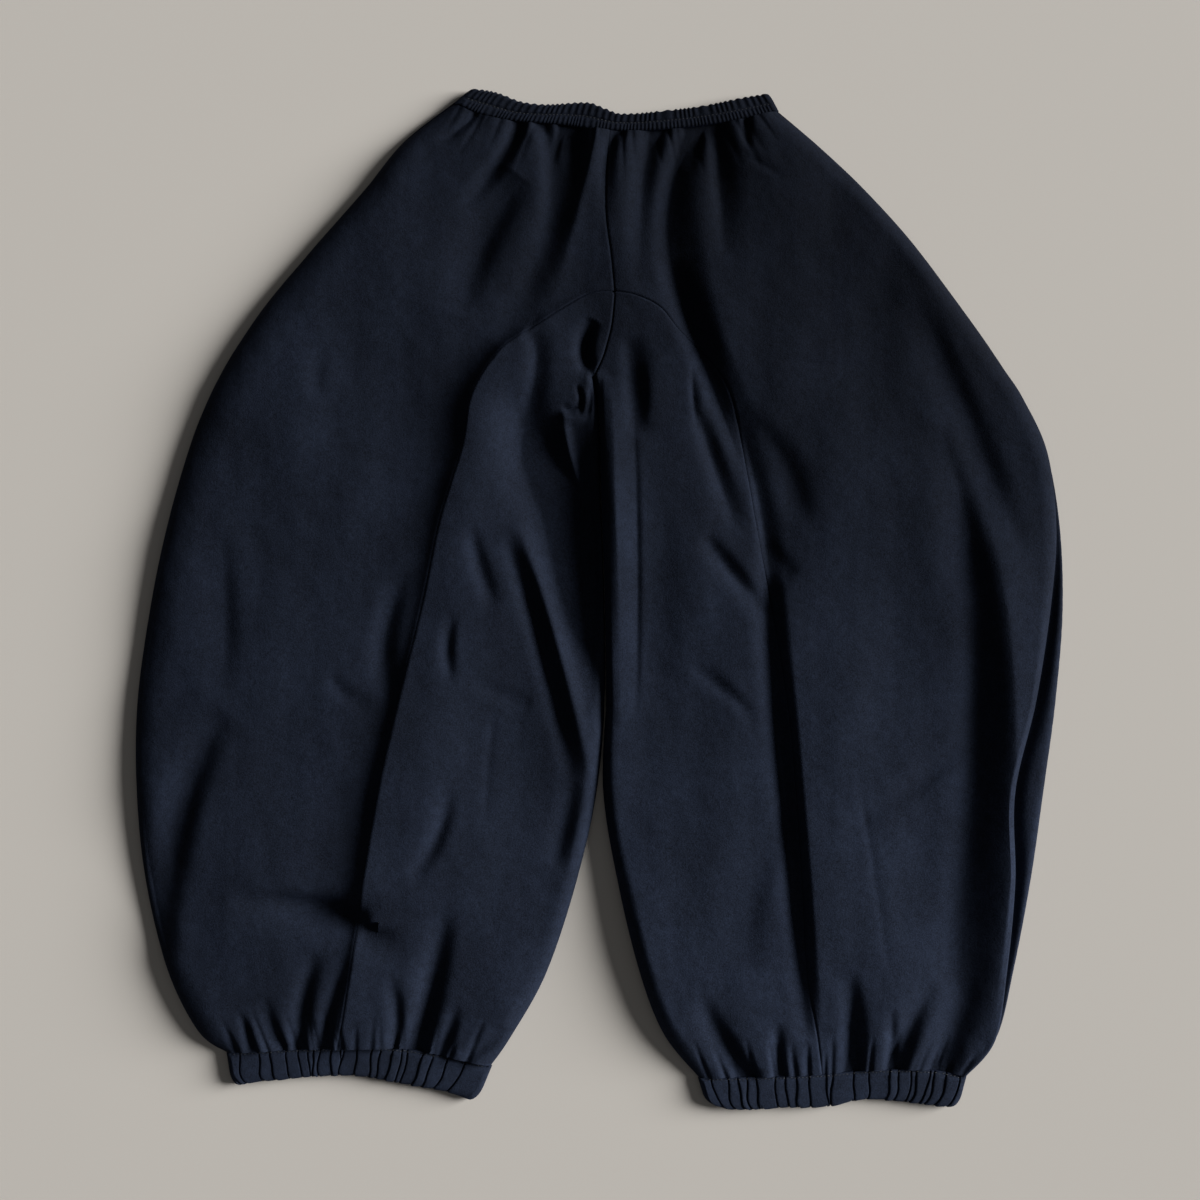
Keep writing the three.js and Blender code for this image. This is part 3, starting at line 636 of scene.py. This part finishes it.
# The gathered casings. Their free edge and their row of stitches lie at places across their height,
# from 0 at the lower edge to 1 at the upper one. The free edge's corners round off and the stitches
# sway by so many mm
CASINGS = table(
    "name lower upper ends free_edge corner stitches sway columns tiers",
    ("waistband", WAIST_LOWER, WAIST_UPPER, WAIST_ENDS, 1, 2, 0.45, 0.15, 900, 30),
    *(
        ("cuff_" + leg, CUFF_LOWER[leg], CUFF_UPPER[leg], CUFF_ENDS[leg], 0, 7, 0.94, 0.5, 700, 26)
        for leg in LEGS
    ),
)
CASINGS = {casing["name"]: casing for casing in CASINGS}

# How far the ribs and pleats stand out at a casing's free edge, as a share of their height
SCALLOP = 0.6


def casing_ends(casing, at):
    """Where a casing starts and ends along X, at a place across its height."""
    ends = zip(casing["ends"]["lower"], casing["ends"]["upper"])
    return [lower * (1 - at) + upper * at for lower, upper in ends]


def casing_course(casing, share, at):
    """Y at shares of a casing's length, at a place across its height."""
    courses = []
    for line in ("lower", "upper"):
        left, right = casing["ends"][line]
        courses.append(smooth_curve(casing[line], left + share * (right - left)))
    return courses[0] * (1 - at) + courses[1] * at


def casing_points(casing, height, wall, lift, scallop):
    """A gathered casing, flattened: loops of points round it, from its lower edge to its upper one.
    lift(share, at) is how far its upper face stands out, and scallop(share) its free edge."""
    turn = np.radians(np.array([225, 205, 180, 155, 135, 115]))
    across = np.linspace(0, 1, casing["columns"])
    bottom = np.linspace(0.98, 0.02, 40)
    parts = (len(turn), len(across), len(turn), len(bottom))
    place = np.concatenate([np.zeros(len(turn)), across, np.ones(len(turn)), bottom])
    top_angle, bottom_angle = np.full(len(across), math.pi / 2), np.full(len(bottom), -math.pi / 2)
    angle = np.concatenate([turn, top_angle, math.pi - turn[::-1], bottom_angle])
    is_top = np.repeat([False, True, False, False], parts)
    is_end = np.repeat([True, False, True, False], parts)
    free_edge = casing["free_edge"]
    corner_reach, scallop_reach = 0.4, 0.12

    def loop(at, radius, inset, raised):
        left_end, right_end = casing_ends(casing, at)
        corner = max(0.0, 1 - abs(at - free_edge) / corner_reach)
        turned_in = casing["corner"] * (1 - math.sqrt(1 - corner**2))
        left_end, right_end = left_end + turned_in, right_end - turned_in
        left, right = left_end + inset + radius, right_end - inset - radius
        x = left + (right - left) * place
        x = np.where(is_end, x + radius * np.cos(angle), x)
        share = (x - left_end) / (right_end - left_end)
        y = casing_course(casing, share, at)
        z = height / 2 + radius * np.sin(angle)
        if raised:
            z = z + np.where(is_top, lift(share, at), 0)
            outward = 1 if free_edge == 1 else -1
            near_edge = max(0.0, 1 - abs(at - free_edge) / scallop_reach)
            y = y + outward * near_edge * np.where(is_top, SCALLOP * scallop(share), 0)
        return np.stack([x, y, z], axis=-1)

    tiers = np.concatenate([[0], np.linspace(0.02, 0.98, casing["tiers"]), [1]])
    outer = np.stack([loop(at, height / 2, 0, True) for at in tiers])
    inner = np.stack([loop(at, height / 2 - wall, wall, False) for at in tiers])
    return outer, inner


def uneven(x, seed, scale):
    """A smooth uneven value from -1 to 1 along x."""
    draw = random.Random(seed)
    waves = [(draw.uniform(0.5, 2), draw.uniform(0, 6.28)) for _ in range(5)]
    return sum(np.sin(x * rate / scale + phase) for rate, phase in waves) / 3


def edge_drop(at, reach, depth):
    """How far a casing's upper face drops towards its lower and upper edges."""
    edge = min(min(at, 1 - at) / reach, 1)
    return depth * (1 - math.sqrt(1 - (1 - edge) ** 2))


def groove(casing, at, reach):
    """From 1 at a casing's row of stitches to 0 away from it."""
    return math.exp(-(((at - casing["stitches"]) / reach) ** 2))


def wide_ribs(share):
    """Ribs of the waistband's upper tier, from -1 to 1, at shares of its length."""
    left, right = WAIST_ENDS["upper"]
    x = share * (right - left)
    spacing, unevenness = 6.1, 0.55
    return np.sin(2 * math.pi * (x / spacing + unevenness * uneven(x, 21, 9)))


def waist_lift(share, at):
    """Two tiers of shirring that a row of stitches parts: wider ribs above, finer ones below."""
    casing = CASINGS["waistband"]
    left, right = WAIST_ENDS["upper"]
    x = share * (right - left)
    spacing, unevenness, lean = 3.7, 0.5, 0.3
    fine_ribs = np.sin(2 * math.pi * (x / spacing + unevenness * uneven(x, 22, 7) + lean * at))
    wide_height, fine_height, swell_height, change = 0.42, 0.3, 0.5, 0.04
    upper_share = 1 / (1 + math.exp(-(at - casing["stitches"]) / change))
    ribs = upper_share * wide_ribs(share) * wide_height + (1 - upper_share) * fine_ribs * fine_height
    swell = swell_height * uneven(x, 23, 18)
    stitched = groove(casing, at, reach=0.07)
    flattened, groove_depth = 0.75, 0.9
    face = ribs * (1 - flattened * stitched) + swell - groove_depth * stitched
    return face - edge_drop(at, reach=0.16, depth=2.6)


def cuff_lift(leg):
    """Pleats pressed flat: each rises sharply at its line and falls gently towards the next one."""
    casing = CASINGS["cuff_" + leg]
    left, right = CUFF_ENDS[leg]["upper"]
    margin = 2
    lines = np.array([left + margin, *PLEATS[leg], right - margin], float)
    draw = random.Random(31 if leg == "right" else 32)
    heights = np.array([draw.uniform(0.9, 2.1) for _ in lines])
    leans = np.array([draw.uniform(-3.5, 3.5) for _ in lines])
    bends = np.array([draw.uniform(0, 6.28) for _ in lines])
    rise_width, fall, bend = 0.9, 0.8, 0.7
    line_depth, line_east, line_west = 1.1, 0.7, 0.6
    flattened, groove_depth = 0.4, 0.8

    def lift(share, at):
        moved = lines + leans * (1 - at) + bend * np.sin(6 * at + bends)
        x = left + share * (right - left)
        i = np.clip(np.searchsorted(moved, x, side="right") - 1, 0, len(moved) - 2)
        since, until = np.maximum(x - moved[i], 0), np.maximum(moved[i + 1] - x, 0)
        t = np.clip(since / (since + until + 1e-6), 0, 1)
        pleat = (1 - np.exp(-since / rise_width)) * (1 - fall * t**1.6)
        line = np.exp(-((since / line_east) ** 2)) + np.exp(-((until / line_west) ** 2))
        stitched = groove(casing, at, reach=0.05)
        face = heights[i] * pleat * (1 - flattened * stitched) - line_depth * line
        return face - groove_depth * stitched - edge_drop(at, reach=0.2, depth=2.2)

    return lift


def srgb(code):
    """A linear colour from an sRGB hex code."""
    channels = [int(code[i : i + 2], 16) / 255 for i in (1, 3, 5)]
    linear = [c / 12.92 if c <= 0.04045 else ((c + 0.055) / 1.055) ** 2.4 for c in channels]
    return (*linear, 1.0)


def node(tree, kind, links=(), **settings):
    """Adds a shader node. Settings that name a socket fill it, and links are (socket, output)."""
    made = tree.nodes.new(kind)
    for key, value in settings.items():
        if hasattr(made, key):
            setattr(made, key, value)
        else:
            made.inputs[key.replace("_", " ")].default_value = value
    for socket, source in links:
        tree.links.new(source, made.inputs[socket])
    return made


def new_material(name, roughness):
    """A new material, with its node tree and its shader."""
    material = bpy.data.materials.new(name)
    material.use_nodes = True
    shader = material.node_tree.nodes["Principled BSDF"]
    shader.inputs["Roughness"].default_value = roughness
    return material, material.node_tree, shader


def blend(tree, factor, dark, light):
    """A mix of two colours, given as sRGB hex codes."""
    mix = node(tree, "ShaderNodeMix", [("Factor", factor)], data_type="RGBA")
    mix.inputs["A"].default_value = srgb(dark)
    mix.inputs["B"].default_value = srgb(light)
    return mix.outputs["Result"]


def brushed_fleece(name, colours):
    """Brushed cotton fleece, jersey side out: matt, with a short nap that pales at a glancing angle
    and a grain of knit loops about 1.4 mm apart, drawn a little coarser than real ones."""
    material, tree, shader = new_material(name, roughness=0.92)
    place = node(tree, "ShaderNodeTexCoord").outputs["Object"]
    loops = node(tree, "ShaderNodeTexNoise", [("Vector", place)], Scale=720.0, Detail=3.0)
    nap = node(tree, "ShaderNodeTexNoise", [("Vector", place)], Scale=120.0, Detail=5.0, Roughness=0.65)
    patches = node(tree, "ShaderNodeTexNoise", [("Vector", place)], Scale=14.0, Detail=3.0)
    tone = node(
        tree,
        "ShaderNodeMath",
        [(0, nap.outputs["Fac"]), (1, patches.outputs["Fac"]), (2, loops.outputs["Fac"])],
        operation="MULTIPLY_ADD",
    )
    ramp = node(tree, "ShaderNodeMapRange", [("Value", tone.outputs[0])], From_Min=0.45, From_Max=1.05)
    cloth = blend(tree, ramp.outputs[0], colours.fleece_dark, colours.fleece_light)

    # painted light and shade: the cloth's colour is scaled paler towards the hem on the viewer's right,
    # and darker above it at the waist, standing in for how the cloth's slopes meet the light
    along = node(tree, "ShaderNodeSeparateXYZ", [("Vector", place)])
    east = node(tree, "ShaderNodeMath", [(0, along.outputs["X"])], operation="ADD")
    east.inputs[1].default_value = 0.5
    painted_shading_slant = node(
        tree, "ShaderNodeMath", [(0, east.outputs[0]), (1, along.outputs["Y"])], operation="MULTIPLY"
    )
    painted_shading_spread = {"From Min": -0.25, "From Max": 0.25, "To Min": 1.5, "To Max": 0.46}
    painted_shading = node(tree, "ShaderNodeMapRange", [("Value", painted_shading_slant.outputs[0])], **painted_shading_spread)
    # the base colour carries painted light and shade, scaled from 1.5 down to 0.46 of the cloth's own
    # colour
    painted_shading_cloth = node(tree, "ShaderNodeVectorMath", [(0, cloth)], operation="SCALE")
    tree.links.new(painted_shading.outputs[0], painted_shading_cloth.inputs["Scale"])
    tree.links.new(painted_shading_cloth.outputs[0], shader.inputs["Base Color"])
    shader.inputs["Specular IOR Level"].default_value = 0.06
    shader.inputs["Sheen Weight"].default_value = colours.sheen
    shader.inputs["Sheen Roughness"].default_value = 0.45
    shader.inputs["Sheen Tint"].default_value = srgb("#5f7fd0")

    tufts = [("Height", nap.outputs["Fac"])]
    bump_nap = node(tree, "ShaderNodeBump", tufts, Strength=0.35, Distance=0.0016)
    grain = [("Height", loops.outputs["Fac"]), ("Normal", bump_nap.outputs["Normal"])]
    bump = node(tree, "ShaderNodeBump", grain, Strength=0.4, Distance=0.0007)
    tree.links.new(bump.outputs["Normal"], shader.inputs["Normal"])
    return material


def sewing_thread(name, colours):
    """Polyester sewing thread, darker and smoother than the cloth."""
    material, tree, shader = new_material(name, roughness=0.6)
    place = node(tree, "ShaderNodeTexCoord").outputs["Object"]
    ply = node(tree, "ShaderNodeTexNoise", [("Vector", place)], Scale=900.0, Detail=2.0)
    thread = blend(tree, ply.outputs["Fac"], colours.thread_dark, colours.thread_light)
    tree.links.new(thread, shader.inputs["Base Color"])
    return material


def material_once(make):
    """The material that a function makes, made at its first use."""
    colours = bpy.context.scene.jogger_colours
    return bpy.data.materials.get(make.__name__) or make(make.__name__, colours)


def finish_piece(made, nodes):
    """Gives a finished piece its cloth and the body it rides on, and hides the solids that it replaces."""
    made.data.materials.append(material_once(brushed_fleece))
    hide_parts(*nodes)
    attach(made, "root")


class JoggerSizes(bpy.types.PropertyGroup):
    """Sizes of the cloth and its seams, in millimetres."""

    cloth: bpy.props.FloatProperty(name="Cloth", description="Thickness of the fleece, mm", default=2.2)
    seam_gap: bpy.props.FloatProperty(name="Seam gap", description="Gap between pieces, mm", default=0.3)
    stitch: bpy.props.FloatProperty(name="Stitch", description="Length of a stitch, mm", default=2.6)
    thread: bpy.props.FloatProperty(name="Thread", description="Thickness of the thread, mm", default=0.5)
    seam_depth: bpy.props.FloatProperty(name="Seam depth", description="Groove at a seam, mm", default=1.0)
    seam_width: bpy.props.FloatProperty(name="Seam width", description="Half its groove, mm", default=1.1)
    waist_height: bpy.props.FloatProperty(name="Waist height", description="Waistband, mm", default=11.4)
    waist_wall: bpy.props.FloatProperty(name="Waist wall", description="Casing, elastic, mm", default=5.2)
    cuff_height: bpy.props.FloatProperty(name="Cuff height", description="Cuff, mm", default=10.0)
    cuff_wall: bpy.props.FloatProperty(name="Cuff wall", description="Casing, elastic, mm", default=4.5)


class JoggerColours(bpy.types.PropertyGroup):
    """Colours of the cloth, the thread and the floor, as sRGB hex codes."""

    fleece_dark: bpy.props.StringProperty(name="Fleece, dark", description="sRGB hex", default="#0c0f16")
    fleece_light: bpy.props.StringProperty(name="Fleece, light", description="sRGB hex", default="#1b212e")
    thread_dark: bpy.props.StringProperty(name="Thread, dark", description="sRGB hex", default="#06080c")
    thread_light: bpy.props.StringProperty(name="Thread, light", description="sRGB hex", default="#0d1018")
    floor: bpy.props.StringProperty(name="Floor", description="sRGB hex", default="#b5b0a9")
    sheen: bpy.props.FloatProperty(name="Nap", description="Strength of the nap's sheen", default=0.03)


# Columns of points across a panel
FRONT_COLUMNS = {"outer": 148, "inner": 96}
BACK_COLUMNS = 14


class JOGGERS_OT_front_panels(bpy.types.Operator):
    """Front of both legs: outer and inner-leg panels with their folds"""

    bl_idname = "joggers.front_panels"
    bl_label = "Front panels"

    def execute(self, context):
        sizes = context.scene.jogger_sizes
        for leg in LEGS:
            for panel in ("outer", "inner"):
                outer, inner = front_panel(leg, panel, FRONT_COLUMNS[panel], sizes)
                made = wall_object(f"fleece_front_{panel}_{leg}", outer, inner)
                finish_piece(made, [f"front_{panel}_{leg}"])
        return {"FINISHED"}


class JOGGERS_OT_back_panels(bpy.types.Operator):
    """Back of both legs, flat on the floor"""

    bl_idname = "joggers.back_panels"
    bl_label = "Back panels"

    def execute(self, context):
        sizes = context.scene.jogger_sizes
        for leg in LEGS:
            for panel in ("outer", "inner"):
                top, low = back_panel(leg, panel, BACK_COLUMNS, sizes)
                made = wall_object(f"fleece_back_{panel}_{leg}", top, low)
                finish_piece(made, [f"back_{panel}_{leg}"])
        return {"FINISHED"}


class JOGGERS_OT_waistband(bpy.types.Operator):
    """Waistband: a shirred casing, stitched round its middle"""

    bl_idname = "joggers.waistband"
    bl_label = "Waistband"

    def execute(self, context):
        sizes = context.scene.jogger_sizes
        height, wall = sizes.waist_height, sizes.waist_wall
        outer, inner = casing_points(CASINGS["waistband"], height, wall, waist_lift, wide_ribs)
        made = wall_object("waistband_casing", outer, inner, closed_around=True)
        finish_piece(made, ["waistband"])
        return {"FINISHED"}


class JOGGERS_OT_cuffs(bpy.types.Operator):
    """Cuffs: hem casings with hard pleats over their elastic"""

    bl_idname = "joggers.cuffs"
    bl_label = "Cuffs"

    def execute(self, context):
        sizes = context.scene.jogger_sizes
        for leg in LEGS:
            lift = cuff_lift(leg)
            middle = partial(lift, at=0.5)
            height, wall = sizes.cuff_height, sizes.cuff_wall
            outer, inner = casing_points(CASINGS["cuff_" + leg], height, wall, lift, middle)
            made = wall_object(f"cuff_casing_{leg}", outer, inner, closed_around=True)
            finish_piece(made, [f"cuff_{leg}"])
        return {"FINISHED"}


def thread_run(points, radius):
    """A short piece of thread along the points: its rings of points and its faces."""
    sides = 5
    along = np.gradient(points, axis=0)
    along /= np.linalg.norm(along, axis=1)[:, None]
    side = np.cross(along, [0.0, 0.0, 1.0])
    side /= np.linalg.norm(side, axis=1)[:, None]
    up = np.cross(side, along)
    turn = np.linspace(0, 2 * math.pi, sides, endpoint=False)
    rings = points[:, None, :] + radius * (
        np.cos(turn)[None, :, None] * side[:, None, :] + np.sin(turn)[None, :, None] * up[:, None, :]
    )
    last = (len(points) - 1) * sides
    faces = []
    for here in range(0, last, sides):
        for j in range(sides):
            k = (j + 1) % sides
            faces.append((here + j, here + sides + j, here + sides + k, here + k))
    faces.append(tuple(range(sides)))
    faces.append(tuple(last + j for j in reversed(range(sides))))
    return rings.reshape(-1, 3), faces


def mesh_of_runs(name, runs):
    """One mesh object from many small runs of points and faces."""
    points, faces = [], []
    for run_points, run_faces in runs:
        start = len(points)
        points.extend(run_points.tolist())
        faces.extend(tuple(start + i for i in face) for face in run_faces)
    made = mesh_object(name, np.array(points), faces)
    bpy.ops.object.mode_set(mode="EDIT")
    bpy.ops.mesh.select_all(action="SELECT")
    bpy.ops.mesh.normals_make_consistent(inside=False)
    bpy.ops.object.mode_set(mode="OBJECT")
    bpy.ops.object.shade_smooth_by_angle(angle=SMOOTH_BELOW)
    return made


def row_of_stitches(casing, height, lift, sizes):
    """Lockstitches along a casing, drawn as coarse as they need to show: each arches over the cloth."""
    at = casing["stitches"]
    left, right = casing_ends(casing, at)
    margin, gap, sway_length = 6.0, 1.1, 9
    arch = np.array([-0.3, 0.15, 0.3, 0.15, -0.3])
    runs = []
    x = left + margin
    while x < right - margin - sizes.stitch:
        xs = np.linspace(x, x + sizes.stitch, len(arch))
        share = (xs - left) / (right - left)
        sway = casing["sway"] * np.sin(2 * math.pi * xs / sway_length)
        y = casing_course(casing, share, at) + sway
        z = height + lift(share, at).max() + arch
        runs.append(thread_run(np.stack([xs, y, z], axis=-1), sizes.thread / 2))
        x += sizes.stitch + gap
    return runs


class JOGGERS_OT_stitches(bpy.types.Operator):
    """Rows of stitches round the waistband and along the top of both cuffs"""

    bl_idname = "joggers.stitches"
    bl_label = "Stitches"

    def execute(self, context):
        sizes = context.scene.jogger_sizes
        thread = material_once(sewing_thread)
        rows = {"waistband": (sizes.waist_height, waist_lift)}
        for leg in LEGS:
            rows["cuff_" + leg] = (sizes.cuff_height, cuff_lift(leg))
        for name, (height, lift) in rows.items():
            made = mesh_of_runs("stitches_" + name, row_of_stitches(CASINGS[name], height, lift, sizes))
            made.data.materials.append(thread)
            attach(made, "root")
        return {"FINISHED"}


class JOGGERS_OT_stage(bpy.types.Operator):
    """Plain pale floor, soft light from the viewer's right, and a camera straight above"""

    bl_idname = "joggers.stage"
    bl_label = "Stage"

    def execute(self, context):
        colours = context.scene.jogger_colours
        bpy.ops.object.select_all(action="DESELECT")
        floor_size, floor_drop = 14, 0.0004
        bpy.ops.mesh.primitive_plane_add(size=floor_size, location=(0, 0, -floor_drop))
        floor = bpy.context.object
        floor.name = "floor"
        # an even, matt painted floor
        material, _, shader = new_material("plain_floor", roughness=0.85)
        shader.inputs["Base Color"].default_value = srgb(colours.floor)
        floor.data.materials.append(material)

        world = bpy.data.worlds.new("soft_studio")
        world.use_nodes = True
        background = world.node_tree.nodes["Background"]
        background.inputs["Color"].default_value = srgb("#f2f3f6")
        background.inputs["Strength"].default_value = 0.06
        context.scene.world = world
        lamps = table(
            "name east north up strength angle",
            ("window", 2.2, 0.45, 0.84, 8.4, 30),
            ("ceiling", 0.3, -0.3, 2.0, 0.12, 80),
        )
        for lamp in lamps:
            bpy.ops.object.light_add(type="SUN", location=(lamp["east"], lamp["north"], lamp["up"]))
            made = bpy.context.object
            made.name = lamp["name"]
            made.data.energy = lamp["strength"]
            made.data.angle = math.radians(lamp["angle"])
            made.rotation_euler = (-made.location).to_track_quat("-Z", "Y").to_euler()

        # metres: how high the camera hangs, the cloth's mean height, and the width it takes in
        height, cloth_height, shown = 2.2, 0.008, 1.2
        camera_data = bpy.data.cameras.new("camera")
        camera = bpy.data.objects.new("camera", camera_data)
        context.scene.collection.objects.link(camera)
        camera.location = (OFFSET[0] * MM, OFFSET[1] * MM, height)
        camera_data.sensor_width = 36
        camera_data.lens = camera_data.sensor_width * (height - cloth_height) / shown
        context.scene.camera = camera
        context.scene.view_settings.view_transform = "Standard"
        return {"FINISHED"}


class JOGGERS_PT_pieces(bpy.types.Panel):
    """Sidebar panel that lists the pieces in the order they are made"""

    bl_idname = "JOGGERS_PT_pieces"
    bl_label = "Joggers"
    bl_space_type = "VIEW_3D"
    bl_region_type = "UI"
    bl_category = "Joggers"

    def draw(self, context):
        for group in (context.scene.jogger_sizes, context.scene.jogger_colours):
            for name in group.__annotations__:
                self.layout.prop(group, name)
        for operator in OPERATORS:
            self.layout.operator(operator.bl_idname)


OPERATORS = (
    JOGGERS_OT_back_panels,
    JOGGERS_OT_front_panels,
    JOGGERS_OT_waistband,
    JOGGERS_OT_cuffs,
    JOGGERS_OT_stitches,
    JOGGERS_OT_stage,
)
CLASSES = (JoggerSizes, JoggerColours, *OPERATORS, JOGGERS_PT_pieces)


def register():
    for each in CLASSES:
        bpy.utils.register_class(each)
    bpy.types.Scene.jogger_sizes = bpy.props.PointerProperty(type=JoggerSizes)
    bpy.types.Scene.jogger_colours = bpy.props.PointerProperty(type=JoggerColours)


def unregister():
    del bpy.types.Scene.jogger_colours
    del bpy.types.Scene.jogger_sizes
    for each in reversed(CLASSES):
        bpy.utils.unregister_class(each)


def main():
    register()
    bpy.ops.joggers.back_panels()
    bpy.ops.joggers.front_panels()
    bpy.ops.joggers.waistband()
    bpy.ops.joggers.cuffs()
    bpy.ops.joggers.stitches()
    bpy.ops.joggers.stage()


if __name__ == "__main__":
    main()
